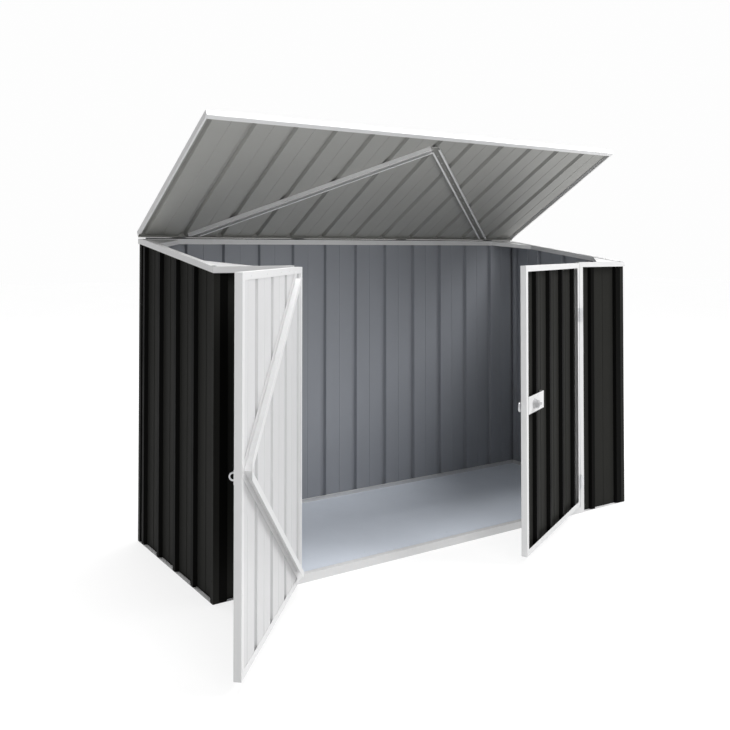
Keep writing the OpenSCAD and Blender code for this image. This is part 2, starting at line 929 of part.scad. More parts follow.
module left_door_hinge_stile()
  color(white)
    at_left_door()
      door_stile();

module left_door_top_rail()
  color(white)
    at_left_door()
      door_rail(door_top, false);

module left_door_bottom_rail()
  color(white)
    at_left_door()
      door_rail(door_z, true);

module left_door_upper_brace()
  color(white)
    at_left_door()
      upper_brace(left_apex_z, left_wall_in);

module left_door_lower_brace()
  color(white)
    at_left_door()
      lower_brace(left_apex_z, left_wall_in);

module left_door_hinge_leaves()
  color(steel)
    at_left_door()
      door_leaves();

module left_door_staple() {
  py = axis_off - leaf_gap - plate_t;
  color(steel)
    at_left_door()
      translate([staple_x, 0, staple_z]) {
        box(
          -staple_plate_w / 2, staple_plate_w / 2, py, py + plate_t,
          -staple_plate_h / 2, staple_plate_h / 2);
        for (z = [-staple_r, staple_r])
          translate([0, py + plate_t / 2, z])
            rotate([90, 0, 0])
              cylinder(r = staple_rod, h = staple_leg + plate_t / 2);
        translate([0, py - staple_leg, 0])
          rotate([0, 90, 0])
            rotate([0, 0, 180])
              rotate_extrude(angle = 180)
                translate([staple_r, 0])
                  circle(r = staple_rod);
      }
}

module right_door_sheet()
  color(black)
    at_right_door()
      difference() {
        door_sheet();
        translate([latch_x, door_y1 + rail_t, latch_z])
          rotate([90, 0, 0])
            cylinder(r = bush_r + pin_gap, h = rail_w);
      }

module right_door_free_stile()
  color(white)
    at_right_door()
      door_free_stile();

module right_door_hinge_stile()
  color(white)
    at_right_door()
      door_stile();

module right_door_top_rail()
  color(white)
    at_right_door()
      door_rail(door_top, false);

module right_door_bottom_rail()
  color(white)
    at_right_door()
      door_rail(door_z, true);

module right_door_upper_brace()
  color(white)
    at_right_door()
      upper_brace(right_apex_z, right_wall_in, right_foot_in);

module right_door_lower_brace()
  color(white)
    at_right_door()
      lower_brace(right_apex_z, right_wall_in, right_foot_in);

module right_door_hinge_leaves()
  color(steel)
    at_right_door()
      door_leaves();

// latch

module latch_plate() {
  zl = latch_z - plate_h / 2;
  zh = latch_z + plate_h / 2;
  foot_y = door_y0 + pan_d - seat;
  color(white)
    at_right_door()
      difference() {
        union() {
          box(plate_x0, plate_x1, plate_y, plate_y + plate_t, zl, zh);
          box(plate_x0, plate_x0 + plate_t, plate_y, foot_y, zl, zh);
          box(plate_x1 - plate_t, plate_x1, plate_y, foot_y, zl, zh);
          translate([latch_x, cam_y - 2 * seat, latch_z])
            rotate([90, 0, 0])
              cylinder(r = bush_r, h = cam_y - 2 * seat - plate_y);
        }
        translate([latch_x, 2 * door_y1, latch_z])
          rotate([90, 0, 0])
            cylinder(r = spindle_r + pin_gap, h = 3 * door_y1);
      }
}

module latch_knob() {
  body_r = knob_r - knob_step;
  top = knob_foot_h + knob_body_h + knob_grip_h;
  color(steel)
    at_right_door()
      translate([latch_x, knob_y, latch_z])
        rotate([90, 0, 0])
          difference() {
            union() {
              cylinder(r1 = knob_r, r2 = knob_r - knob_taper, h = knob_foot_h);
              cylinder(r = body_r, h = knob_foot_h + knob_body_h);
              translate([-body_r, -knob_grip_t / 2, knob_foot_h])
                cube([2 * body_r, knob_grip_t, knob_body_h + knob_grip_h]);
              translate([0, 0, knob_y - spindle_y])
                cylinder(r = spindle_r, h = spindle_y - knob_y + slot_d);
            }
            translate([-slot_w / 2, -slot_l / 2, top - slot_d])
              cube([slot_w, slot_l, 2 * slot_d]);
          }
}

module latch_cam() {
  reach = latch_in - cam_r + cam_reach;
  color(steel)
    at_right_door()
      translate([latch_x, 0, latch_z])
        on_door(cam_y)
          linear_extrude(height = cam_t)
            difference() {
              union() {
                circle(r = cam_hub_r);
                translate([reach, 0])
                  circle(r = cam_r);
                translate([0, -cam_bar / 2])
                  square([reach, cam_bar]);
              }
              circle(r = spindle_r + pin_gap);
            }
}

module latch_nut()
  color(steel)
    at_right_door()
      translate([latch_x, 0, latch_z])
        on_door(cam_y + cam_t + seat)
          linear_extrude(height = nut_t)
            difference() {
              circle(r = nut_r, $fn = 6);
              circle(r = spindle_r + pin_gap);
            }

floor_panel();
floor_bearers();
front_sill();
back_base_rail();
left_base_rail();
right_base_rail();
front_base_rails();
left_jamb();
right_jamb();
back_top_rail();
left_top_rail();
right_top_rail();
front_left_top_rail();
front_right_top_rail();
back_sheet_left();
back_sheet_middle();
back_sheet_right();
left_end_sheet();
right_end_sheet();
front_left_sheet();
front_right_sheet();
front_corner_angles();
back_corner_angles();
front_gussets();
back_gussets();
lid_hinge_fixed_leaves();
lid_hinge_pins();
door_hinge_fixed_leaves();
door_hinge_pins();
lid_sheet_left();
lid_sheet_middle();
lid_sheet_right();
lid_front_trim();
lid_back_trim();
lid_left_trim();
lid_right_trim();
lid_left_brace();
lid_right_brace();
lid_hinge_leaves();
left_door_sheet();
left_door_free_stile();
left_door_hinge_stile();
left_door_top_rail();
left_door_bottom_rail();
left_door_upper_brace();
left_door_lower_brace();
left_door_hinge_leaves();
left_door_staple();
right_door_sheet();
right_door_free_stile();
right_door_hinge_stile();
right_door_top_rail();
right_door_bottom_rail();
right_door_upper_brace();
right_door_lower_brace();
right_door_hinge_leaves();
latch_plate();
latch_knob();
latch_cam();
latch_nut();
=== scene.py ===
"""Dresses a low steel bike shed: ribbed black sheets, white channels, an open lid and two braced doors."""

import json
import math

import bmesh
import bpy
from mathutils import Matrix, Vector


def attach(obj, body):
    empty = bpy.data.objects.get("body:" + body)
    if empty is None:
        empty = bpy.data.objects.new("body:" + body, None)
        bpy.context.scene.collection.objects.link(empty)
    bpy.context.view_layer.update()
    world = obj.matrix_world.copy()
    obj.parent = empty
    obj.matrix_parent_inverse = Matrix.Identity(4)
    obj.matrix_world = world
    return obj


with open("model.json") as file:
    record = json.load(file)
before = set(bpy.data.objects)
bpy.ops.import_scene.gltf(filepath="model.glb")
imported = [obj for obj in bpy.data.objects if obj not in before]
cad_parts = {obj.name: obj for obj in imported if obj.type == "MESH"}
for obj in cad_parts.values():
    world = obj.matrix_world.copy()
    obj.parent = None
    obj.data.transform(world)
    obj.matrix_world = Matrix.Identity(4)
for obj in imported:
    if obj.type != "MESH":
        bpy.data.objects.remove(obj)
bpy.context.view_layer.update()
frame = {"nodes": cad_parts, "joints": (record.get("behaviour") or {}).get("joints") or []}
nodes = frame["nodes"]
joints = {j["name"]: j for j in frame["joints"]}

MM = 0.001
WELD = 0.001 * MM

BACK = (0, 1, 0)
FRONT = (0, -1, 0)
LEFT = (-1, 0, 0)
RIGHT = (1, 0, 0)
UP = (0, 0, 1)
DOWN = (0, 0, -1)

# Heads of the rivets and screws in millimetres; profile, near top, rim and taper are shares
RIVET_R = 3.2
RIVET_H = 1.1
RIVET_EDGE = 0.25
RIVET_STEPS = 5
RIVET_PIN_R = 0.9
RIVET_PIN_WALL = 0.35
RIVET_PIN_DEEP = 0.45
SCREW_R = 3.6
SCREW_H = 2.2
SCREW_PROFILE = ((1, 0), (1, 0.5), (0.93, 0.78), (0.8, 0.95))
SCREW_NEAR_TOP = 0.99
CROSS_ARM = 1.9
CROSS_HALF = 0.45
CROSS_RIM = 1.25
CROSS_DEEP = 1.1
CROSS_TAPER = 0.7
HEAD_SIDES = 20

# Turn in radians from each head to the next
HEAD_TWIST = 2.4

# Walls in millimetres, as the solids have them; an IN runs inward from the outermost reach
HALF_W = 1130.0
HALF_D = 410.0
ROOF_RISE = 110
ROOF_RUN = 796
ROOF_SLOPE = math.atan2(ROOF_RISE, ROOF_RUN)
RIB_PITCH = 185.0
RIB_RISE = 12.0
FIRST_RIB = -1110.0
HALF_BAYS = 6
LAP_X = 370.0
LAP_IN = 4.9
LAP_RIVET_Z = (150, 450, 750, 1050, 1250)
ANGLE_IN = 5
ANGLE_MIDDLE = 17
ANGLE_RIVET_Z = (80, 360, 640, 920, 1170)
CHANNEL_IN = 24
BACK_RAIL_Z = 1318
BASE_Z = 43
BAY_RIVETS = (-42, 42)
END_RIVET_Y = (-300, -130, 40, 210, 350)
END_RAIL_Z = 1208

# Doorway, gussets and floor
HINGE_X = 795.0
SILL_Z = 32
SILL_IN = 12
SILL_RIVET_X = (-HINGE_X + 14, -265)
JAMB_MIDDLE = 13
JAMB_RIVET_Z = (60, 300, 560, 820, 1080)
GUSSET_IN = 25.3
GUSSET_Z = 1206
GUSSET_RIVETS = (45, 105)
BEARER_X = (-880, -440, 0, 440, 880)
BEARER_SIDE = 16
FLOOR_RIVET_Y = (-340, -115, 115, 340)
FLOOR_Z = 33

# Hinge leaves
DOOR_HINGE_Z = (152.0, 963.0)
LID_HINGE_X = (-940.0, -319.6, 319.6, 940.0)
LEAF_MIDDLE = 14
FIXED_LEAF = 1.7
MOVING_LEAF = 3.3
LEAF_SCREWS = (-21, 21)

# A door in its own frame, its x from the hinge
DOOR_IN = 29.0
DOOR_TOP = 1215.0
DOOR_LOW = 36.0
DOOR_END = 793.0
LIP_MIDDLE = 12
STILE_RIVET_X = (14, DOOR_END - LIP_MIDDLE)
STILE_RIVET_Z = (64, 280, 520, 740, 960, 1187)
RAIL_RIVET_X = (215, 330, 515, 700)
UPPER_BRACE_FOOT = (122, 1182)
LOWER_BRACE_FOOT = (84, 76)
BRACES_MEET_X = DOOR_END - 18
BRACES_APART = 13.2
BRACE_SKIN = DOOR_IN + 1.1
BRACE_RIVETS = (-13, 40, 190, 340, 490)
LAST_RIVET_X = DOOR_END - 10
LAST_RIVET_ON = 6
LEFT_APEX_Z = 637
RIGHT_APEX_Z = 450
LATCH_PLATE_X = -637
LATCH_PLATE_OUT = 9.1
LATCH_SCREW_Z = (611, 667)
STAPLE_X = 781
STAPLE_SCREW_Z = (603, 639)

# The lid in its own frame, whose y runs back from its hinge axis
LID_FRONT_Y = -871
LID_BACK_Y = -17
LID_SIDE_IN = 12
LID_TOP_Z = 30
LID_LAP_Z = 28.7
LID_SIDE_RIVET_Y = range(-800, -60, 120)
LID_LAP_RIVET_Y = range(-780, -60, 140)
UNDER_RIVETS = (-30, 30)
UNDER_RIVET_Z = 9.5
UNDER_FOOT_Y = -36
UNDER_RUN_Y = 759
UNDER_FROM = 0.02
UNDER_TO = 0.97

# The lid's brace channels, from their inner edges, and the lips along them
BRACE_RUN_X = 875
BRACE_FOOT = Vector((-BRACE_RUN_X, -32.0))
BRACE_APEX = Vector((0.0, -802.6))
BRACE_STOP_Y = -805.6
BRACE_HALF = 19.0
BRACE_LOW = -7.4
LIP_W = 8.0
LIP_T = 1.0

# The rubber strip on the back rail, whose black also stands in for the shade in the join under the lid
SEAL_SIZE = (2200, 5, 4.4)
SEAL_PLACE = (0, 395.5, 1332.2)

# Opening angles of the moving parts at rest, from the joints' travel to their closed ends
LEFT_OPEN = math.radians(joints["left_door_hinge"]["range_deg"][1])
RIGHT_OPEN = -math.radians(joints["right_door_hinge"]["range_deg"][0])
LID_OPEN = -math.radians(joints["lid_hinge"]["range_deg"][0])

# Paint and metal tones, linear
SATIN_BLACK = (0.0200, 0.0200, 0.0185)
SATIN_BLACK_WORN = (0.0255, 0.0255, 0.0236)
# A darker black on the rib faces: painted shade on the ribs, which have the same paint as the pans
RIB_SHADE_BLACK = (0.0030, 0.0030, 0.0028)
RIB_SHADE_BLACK_WORN = (0.0042, 0.0042, 0.0039)
# The walls' inside coat is the doors' inside paint made darker: painted shade on the shaded walls
BACK_COAT_SHADED = (0.284, 0.298, 0.326)
BACK_COAT_SHADED_DARK = (0.247, 0.259, 0.284)
# The lid's inside coat is the doors' inside paint made darker: painted shade under the lid
LID_COAT_SHADED = (0.345, 0.345, 0.328)
LID_COAT_SHADED_DARK = (0.290, 0.290, 0.276)
DOOR_COAT = (0.625, 0.625, 0.63)
DOOR_COAT_DARK = (0.575, 0.575, 0.58)
FRAME_WHITE = (0.72, 0.72, 0.72)
FRAME_WHITE_DULL = (0.67, 0.67, 0.675)
FLOOR_GREY = (0.74, 0.79, 0.87)
FLOOR_GREY_DULL = (0.645, 0.69, 0.76)
ZINC = (0.74, 0.745, 0.76)
ZINC_DULL = (0.64, 0.645, 0.66)
CAST_GREY = (0.52, 0.52, 0.53)
CAST_GREY_DULL = (0.44, 0.44, 0.45)
SEAL_BLACK_AND_JOIN_SHADE = (0.012, 0.012, 0.012)
GROUND_WHITE = (0.25, 0.25, 0.25)
GROUND_SHADE = (0.24, 0.24, 0.24)

# Depth of the orange peel, and how far a face has to look outward to get the outside paint
PEEL_DEPTH = 0.1 * MM
FACING_MIN = 0.05

# The ground's glow, whose strength rises between two distances in metres from the middle
GROUND_SIZE = 60.0
GROUND_NEAR = 1.8
GROUND_FAR = 4.5
GROUND_GLOW_NEAR = 0.77
GROUND_GLOW_FAR = 0.905

# Backdrop strengths and the edge between them, as the cosine from the camera's heading
SKY_BACK = 0.985
SKY_SIDES = 0.04
SKY_EDGE_LOW = 0.35
SKY_EDGE_HIGH = 0.8

# Name, place, width and height in metres, power in watts
LAMPS = [
    ("front_low", (-0.5, -6.5, 1.2), (3.0, 2.0), 38),
    ("front_high", (-1.0, -5.5, 5.0), (3.0, 3.0), 85),
    ("right_high", (4.0, -3.0, 5.5), (3.0, 3.0), 325),
    ("left_high", (-3.0, -3.5, 6.5), (3.0, 3.0), 60),
    ("top", (0.0, 0.5, 6.5), (4.0, 4.0), 520),
]
LAMP_AIM = (0, 0, 0.6)

CAMERA_PLACE = (-2.372, -3.2506, 1.2795)
CAMERA_YAW = math.radians(33.83)
CAMERA_PITCH = math.radians(1.17)
CAMERA_LENS = 41.5
CAMERA_SENSOR = 36.0
CAMERA_DROP = -0.181


# Shader node groups

def new_group(name, inputs, outputs):
    group = bpy.data.node_groups.new(name, "ShaderNodeTree")
    for label, kind, value in inputs:
        socket = group.interface.new_socket(label, in_out="INPUT", socket_type=kind)
        socket.default_value = value
    for label, kind in outputs:
        group.interface.new_socket(label, in_out="OUTPUT", socket_type=kind)
    return group, group.nodes.new("NodeGroupInput"), group.nodes.new("NodeGroupOutput")


def coat_mottle_group():
    """Soft clouds of a second tone, a roughness that wanders with them, and fine orange peel."""
    group, enter, leave = new_group(
        "coat_mottle",
        [
            ("Tone", "NodeSocketColor", (0.5, 0.5, 0.5, 1)),
            ("Second Tone", "NodeSocketColor", (0.4, 0.4, 0.4, 1)),
            ("Cloud Scale", "NodeSocketFloat", 2.0),
            ("Peel Scale", "NodeSocketFloat", 400.0),
            ("Roughness Low", "NodeSocketFloat", 0.35),
            ("Roughness High", "NodeSocketFloat", 0.5),
        ],
        [("Color", "NodeSocketColor"), ("Roughness", "NodeSocketFloat"), ("Height", "NodeSocketFloat")],
    )
    links, make = group.links, group.nodes.new
    place = make("ShaderNodeTexCoord")
    cloud = make("ShaderNodeTexNoise")
    cloud.inputs["Detail"].default_value = 5
    cloud.inputs["Roughness"].default_value = 0.6
    peel = make("ShaderNodeTexNoise")
    peel.inputs["Detail"].default_value = 2
    mix = make("ShaderNodeMix")
    mix.data_type = "RGBA"
    rough = make("ShaderNodeMapRange")
    rough.inputs["From Min"].default_value = 0.3
    rough.inputs["From Max"].default_value = 0.7
    links.new(place.outputs["Object"], cloud.inputs["Vector"])
    links.new(enter.outputs["Cloud Scale"], cloud.inputs["Scale"])
    links.new(place.outputs["Object"], peel.inputs["Vector"])
    links.new(enter.outputs["Peel Scale"], peel.inputs["Scale"])
    links.new(cloud.outputs["Fac"], mix.inputs["Factor"])
    links.new(enter.outputs["Tone"], mix.inputs["A"])
    links.new(enter.outputs["Second Tone"], mix.inputs["B"])
    links.new(cloud.outputs["Fac"], rough.inputs["Value"])
    links.new(enter.outputs["Roughness Low"], rough.inputs["To Min"])
    links.new(enter.outputs["Roughness High"], rough.inputs["To Max"])
    links.new(mix.outputs["Result"], leave.inputs["Color"])
    links.new(rough.outputs["Result"], leave.inputs["Roughness"])
    links.new(peel.outputs["Fac"], leave.inputs["Height"])
    return group


COAT_MOTTLE = coat_mottle_group()


def coated(name, tone, second, low, high, cloud=2.2, peel=420.0, bump=0.04, metallic=0.0, shine=0.5):
    """Painted or plated metal, rubber or ground; without a second tone the colour is plain."""
    material = bpy.data.materials.new(name)
    material.use_nodes = True
    tree = material.node_tree
    shader = tree.nodes["Principled BSDF"]
    mottle = tree.nodes.new("ShaderNodeGroup")
    mottle.node_tree = COAT_MOTTLE
    if second is None:
        shader.inputs["Base Color"].default_value = (*tone, 1)
    else:
        mottle.inputs["Tone"].default_value = (*tone, 1)
        mottle.inputs["Second Tone"].default_value = (*second, 1)
        tree.links.new(mottle.outputs["Color"], shader.inputs["Base Color"])
    mottle.inputs["Cloud Scale"].default_value = cloud
    mottle.inputs["Peel Scale"].default_value = peel
    mottle.inputs["Roughness Low"].default_value = low
    mottle.inputs["Roughness High"].default_value = high
    relief = tree.nodes.new("ShaderNodeBump")
    relief.inputs["Strength"].default_value = bump
    relief.inputs["Distance"].default_value = PEEL_DEPTH
    shader.inputs["Metallic"].default_value = metallic
    shader.inputs["Specular IOR Level"].default_value = shine
    tree.links.new(mottle.outputs["Roughness"], shader.inputs["Roughness"])
    tree.links.new(mottle.outputs["Height"], relief.inputs["Height"])
    tree.links.new(relief.outputs["Normal"], shader.inputs["Normal"])
    return material


def glow_from_distance(material):
    """Lifts the far ground to the white of the backdrop and leaves the soft shadows near the object."""
    tree = material.node_tree
    shader = tree.nodes["Principled BSDF"]
    shader.inputs["Emission Color"].default_value = (1, 1, 1, 1)
    place = tree.nodes.new("ShaderNodeTexCoord")
    distance = tree.nodes.new("ShaderNodeVectorMath")
    distance.operation = "LENGTH"
    glow = tree.nodes.new("ShaderNodeMapRange")
    glow.interpolation_type = "SMOOTHSTEP"
    glow.inputs["From Min"].default_value = GROUND_NEAR
    glow.inputs["From Max"].default_value = GROUND_FAR
    glow.inputs["To Min"].default_value = GROUND_GLOW_NEAR
    glow.inputs["To Max"].default_value = GROUND_GLOW_FAR
    tree.links.new(place.outputs["Object"], distance.inputs[0])
    tree.links.new(distance.outputs["Value"], glow.inputs["Value"])
    tree.links.new(glow.outputs["Result"], shader.inputs["Emission Strength"])


satin_black = coated("satin_black_outside", SATIN_BLACK, SATIN_BLACK_WORN, 0.42, 0.54, shine=0.02)
# The rib faces' darker black is painted shade
rib_shade_black = coated("rib_faces_painted_shade", RIB_SHADE_BLACK, RIB_SHADE_BLACK_WORN, 0.42, 0.54, shine=0.03)
# Darker inside coat of the walls, painted shade
back_coat_shaded = coated("wall_inside_coat_painted_shade", BACK_COAT_SHADED, BACK_COAT_SHADED_DARK, 0.5, 0.62)
# Darker inside coat of the lid, painted shade
lid_coat_shaded = coated("lid_inside_coat_painted_shade", LID_COAT_SHADED, LID_COAT_SHADED_DARK, 0.5, 0.62)
door_coat = coated("light_grey_door_inside", DOOR_COAT, DOOR_COAT_DARK, 0.45, 0.58)
frame_white = coated("white_frame_paint", FRAME_WHITE, FRAME_WHITE_DULL, 0.38, 0.5)
floor_grey = coated("grey_floor_paint", FLOOR_GREY, FLOOR_GREY_DULL, 0.42, 0.6, cloud=3.5)
zinc = coated("zinc_plated_steel", ZINC, ZINC_DULL, 0.28, 0.42, cloud=30.0, metallic=0.6)
cast_grey = coated("satin_cast_metal", CAST_GREY, CAST_GREY_DULL, 0.38, 0.5, cloud=30.0, metallic=0.3)
# Black of the rubber strip, also standing in for the shade in the join between rail and lid
seal_black_and_join_shade = coated("black_rubber_and_join_shade", SEAL_BLACK_AND_JOIN_SHADE, None, 0.7, 0.8, shine=0.1)
ground_white = coated("pale_ground", GROUND_WHITE, GROUND_SHADE, 0.75, 0.85, cloud=0.8, bump=0.0, shine=0.1)
glow_from_distance(ground_white)


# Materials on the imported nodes

def paint(node, material):
    mesh = nodes[node].data
    mesh.materials.clear()
    mesh.materials.append(material)


def paint_two_sided(node, outward, outside, inside, ribs=None):
    """The faces that look outward get the outside paint, the others the inside coat; rib faces may get
    painted shade.
    """
    mesh = nodes[node].data
    mesh.materials.clear()
    for material in (outside, inside, ribs or outside):
        mesh.materials.append(material)
    direction = Vector(outward).normalized()
    crest = max(vertex.co.dot(direction) for vertex in mesh.vertices)
    for face in mesh.polygons:
        if face.normal.dot(direction) < FACING_MIN:
            face.material_index = 1
        # Outward faces within a rib's rise of the crest take the third paint, painted shade on the ribs
        elif face.center.dot(direction) > crest - RIB_RISE * MM:
            face.material_index = 2
        else:
            face.material_index = 0


# Frames of the moving parts at rest

def hinge_frame(joint, turn, axis):
    place = Vector(joints[joint]["pos_m"])
    if axis == "Z":
        place.z = 0
    return Matrix.Translation(place) @ Matrix.Rotation(turn, 4, axis)


LEFT_DOOR = hinge_frame("left_door_hinge", -LEFT_OPEN, "Z")
RIGHT_DOOR = hinge_frame("right_door_hinge", RIGHT_OPEN, "Z")
LID = hinge_frame("lid_hinge", ROOF_SLOPE - LID_OPEN, "X")
SHELL = Matrix.Identity(4)

left_out = LEFT_DOOR.to_3x3() @ Vector(FRONT)
right_out = RIGHT_DOOR.to_3x3() @ Vector(FRONT)
lid_out = LID.to_3x3() @ Vector(UP)
lid_back = LID.to_3x3() @ Vector((0, 1, 1))

WALL_SIDES = {
    "back_sheet_left": BACK,
    "back_sheet_middle": BACK,
    "back_sheet_right": BACK,
    "left_end_sheet": LEFT,
    "right_end_sheet": RIGHT,
    "front_left_sheet": FRONT,
    "front_right_sheet": FRONT,
}
for name in nodes:
    if name in WALL_SIDES:
        paint_two_sided(name, WALL_SIDES[name], satin_black, back_coat_shaded, rib_shade_black)
    elif name.startswith("lid_sheet"):
        paint_two_sided(name, lid_out, satin_black, lid_coat_shaded, rib_shade_black)
    elif name == "left_door_sheet":
        paint_two_sided(name, left_out, satin_black, door_coat, rib_shade_black)
    elif name == "right_door_sheet":
        paint_two_sided(name, right_out, satin_black, door_coat, rib_shade_black)
    elif name == "lid_back_trim":
        # The white trim's faces that don't look back and up get the shaded lid grey: painted shade
        paint_two_sided(name, lid_back, frame_white, lid_coat_shaded)
    elif name in ("lid_left_brace", "lid_right_brace"):
        # Brace faces that look down, away from the lid, get the shaded lid grey: painted shade in the
        # channel
        paint_two_sided(name, -lid_out, lid_coat_shaded, frame_white)
    elif name.endswith("corner_angles"):
        paint(name, satin_black)
    elif name == "floor_panel":
        paint(name, floor_grey)
    elif "hinge_fixed" in name or "pins" in name or "hinge_leaves" in name:
        paint(name, zinc)
    elif name in ("floor_bearers", "left_door_staple", "latch_cam", "latch_nut"):
        paint(name, zinc)
    elif name == "latch_knob":
        paint(name, cast_grey)
    else:
        paint(name, frame_white)


# Heads of rivets and screws

def lathe(profile, sides):
    """A round head from (radius, height) points, its axis upward, heights from the seat."""
    shape = bmesh.new()
    line = [shape.verts.new((r * MM, 0, z * MM)) for r, z in profile]
    edges = [shape.edges.new(pair) for pair in zip(line, line[1:])]
    bmesh.ops.spin(
        shape, geom=line + edges, cent=(0, 0, 0), axis=(0, 0, 1), dvec=(0, 0, 0),
        angle=2 * math.pi, steps=sides, use_merge=True, use_duplicate=False)
    bmesh.ops.remove_doubles(shape, verts=shape.verts, dist=WELD)
    bmesh.ops.recalc_face_normals(shape, faces=shape.faces)
    return shape


def rivet_head():
    """A low dome with the dimple of the drawn pin."""
    dome = [(RIVET_R, 0), (RIVET_R, RIVET_EDGE)]
    for step in range(1, RIVET_STEPS):
        turn = math.pi / 2 * step / RIVET_STEPS
        dome.append((RIVET_R * math.cos(turn), RIVET_EDGE + (RIVET_H - RIVET_EDGE) * math.sin(turn)))
    dome += [(RIVET_PIN_R, RIVET_H), (RIVET_PIN_R, RIVET_H - RIVET_PIN_WALL), (0, RIVET_H - RIVET_PIN_DEEP)]
    return lathe(dome, HEAD_SIDES)


def screw_head():
    """A pan head with a cross recess."""
    pan = [(share_r * SCREW_R, share_h * SCREW_H) for share_r, share_h in SCREW_PROFILE]
    shape = lathe(pan + [(CROSS_ARM * CROSS_RIM, SCREW_H)], HEAD_SIDES)
    near_top = SCREW_NEAR_TOP * SCREW_H * MM
    top = [e for e in shape.edges if e.is_boundary and e.verts[0].co.z > near_top]
    half, arm = CROSS_HALF * MM, CROSS_ARM * MM
    corners = [
        (arm, -half), (arm, half), (half, half), (half, arm), (-half, arm), (-half, half),
        (-arm, half), (-arm, -half), (-half, -half), (-half, -arm), (half, -arm), (half, -half)]
    ring = [shape.verts.new((x, y, SCREW_H * MM)) for x, y in corners]
    cross = [shape.edges.new((ring[i], ring[(i + 1) % len(ring)])) for i in range(len(ring))]
    bmesh.ops.bridge_loops(shape, edges=top + cross)
    floor = shape.faces.new(ring)
    sunk = bmesh.ops.extrude_face_region(shape, geom=[floor])
    low = [v for v in sunk["geom"] if isinstance(v, bmesh.types.BMVert)]
    bmesh.ops.delete(shape, geom=[floor], context="FACES_ONLY")
    bmesh.ops.translate(shape, verts=low, vec=(0, 0, -CROSS_DEEP * MM))
    bmesh.ops.scale(shape, verts=low, vec=(CROSS_TAPER, CROSS_TAPER, 1))
    bmesh.ops.recalc_face_normals(shape, faces=shape.faces)
    return shape


def as_mesh(shape, name):
    mesh = bpy.data.meshes.new(name)
    shape.to_mesh(mesh)
    shape.free()
    return mesh


RIVET = as_mesh(rivet_head(), "rivet_head")
SCREW = as_mesh(screw_head(), "screw_head")


def add_piece(name, shape, material, body):
    """Turns a finished shape in the shared frame into a piece that rides on a body."""
    mesh = as_mesh(shape, name)
    mesh.materials.append(material)
    mesh.shade_smooth()
    piece = bpy.data.objects.new(name, mesh)
    bpy.context.scene.collection.objects.link(piece)
    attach(piece, body)
    return piece


def heads(name, head, spots, frame_of, material, body):
    """Heads at spots of ((x, y, z), outward), in millimetres of the given frame."""
    shape = bmesh.new()
    for number, (place, outward) in enumerate(spots):
        first = len(shape.verts)
        shape.from_mesh(head)
        shape.verts.ensure_lookup_table()
        facing = frame_of.to_3x3() @ Vector(outward).normalized()
        seat = frame_of @ (Vector(place) * MM)
        twist = Matrix.Rotation(number * HEAD_TWIST, 4, "Z")
        turned = facing.to_track_quat("Z", "Y").to_matrix().to_4x4() @ twist
        bmesh.ops.transform(
            shape, matrix=Matrix.Translation(seat) @ turned, verts=shape.verts[first:])
    add_piece(name, shape, material, body)


def both_sides(spots):
    """The spots and their mirror images."""
    return spots + [((-x, y, z), (-u, v, w)) for (x, y, z), (u, v, w) in spots]


def bay_middles():
    """The middles of the bays between ribs, on the left half."""
    return [FIRST_RIB + (bay + 0.5) * RIB_PITCH for bay in range(HALF_BAYS)]


def on_slope(z, y):
    """A height that is z at the front and follows the roof back to y."""
    return z + (y + HALF_D) * math.tan(ROOF_SLOPE)


def wall_rivets():
    """Pop rivets of the corner angles, top channels, base channels and laps."""
    outside, inside = [], []
    for z in ANGLE_RIVET_Z:
        for way, facing in ((-1, FRONT), (1, BACK)):
            outside.append(((-HALF_W + ANGLE_IN, way * (HALF_D - ANGLE_MIDDLE), z), LEFT))
            outside.append(((-HALF_W + ANGLE_MIDDLE, way * (HALF_D - ANGLE_IN), z), facing))
    for z in LAP_RIVET_Z:
        outside.append(((-LAP_X, HALF_D - LAP_IN, z), BACK))
    for x in bay_middles():
        for shift in BAY_RIVETS:
            inside.append(((x + shift, HALF_D - CHANNEL_IN, BACK_RAIL_Z), FRONT))
            inside.append(((x + shift, HALF_D - CHANNEL_IN, BASE_Z), FRONT))
    for y in END_RIVET_Y:
        inside.append(((-HALF_W + CHANNEL_IN, y, BASE_Z), RIGHT))
        inside.append(((-HALF_W + CHANNEL_IN, y, on_slope(END_RAIL_Z, y)), RIGHT))
    heads("wall_rivets_outside", RIVET, both_sides(outside), SHELL, satin_black, "shell")
    heads("wall_rivets_inside", RIVET, both_sides(inside), SHELL, frame_white, "shell")


def frame_rivets():
    """Rivets of the sill, the jambs, the folded edges of the gussets and the floor."""
    spots = [((x, -HALF_D + SILL_IN, SILL_Z), UP) for x in SILL_RIVET_X]
    for z in JAMB_RIVET_Z:
        spots.append(((-HINGE_X - JAMB_MIDDLE, -HALF_D + CHANNEL_IN, z), BACK))
    for y, way in ((-HALF_D + GUSSET_IN, 1), (HALF_D - GUSSET_IN, -1)):
        height = on_slope(GUSSET_Z, y)
        for step in GUSSET_RIVETS:
            spots.append(((-HALF_W + CHANNEL_IN + step, y, height), (0, way, 0)))
        for step in GUSSET_RIVETS:
            rise = way * step * math.tan(ROOF_SLOPE)
            spots.append(((-HALF_W + GUSSET_IN, y + way * step, height + rise), RIGHT))
    heads("frame_rivets", RIVET, both_sides(spots), SHELL, frame_white, "shell")
    floor = []
    for x in BEARER_X:
        floor += [((x + BEARER_SIDE, y, FLOOR_Z), UP) for y in FLOOR_RIVET_Y]
    heads("floor_rivets", RIVET, floor, SHELL, floor_grey, "shell")


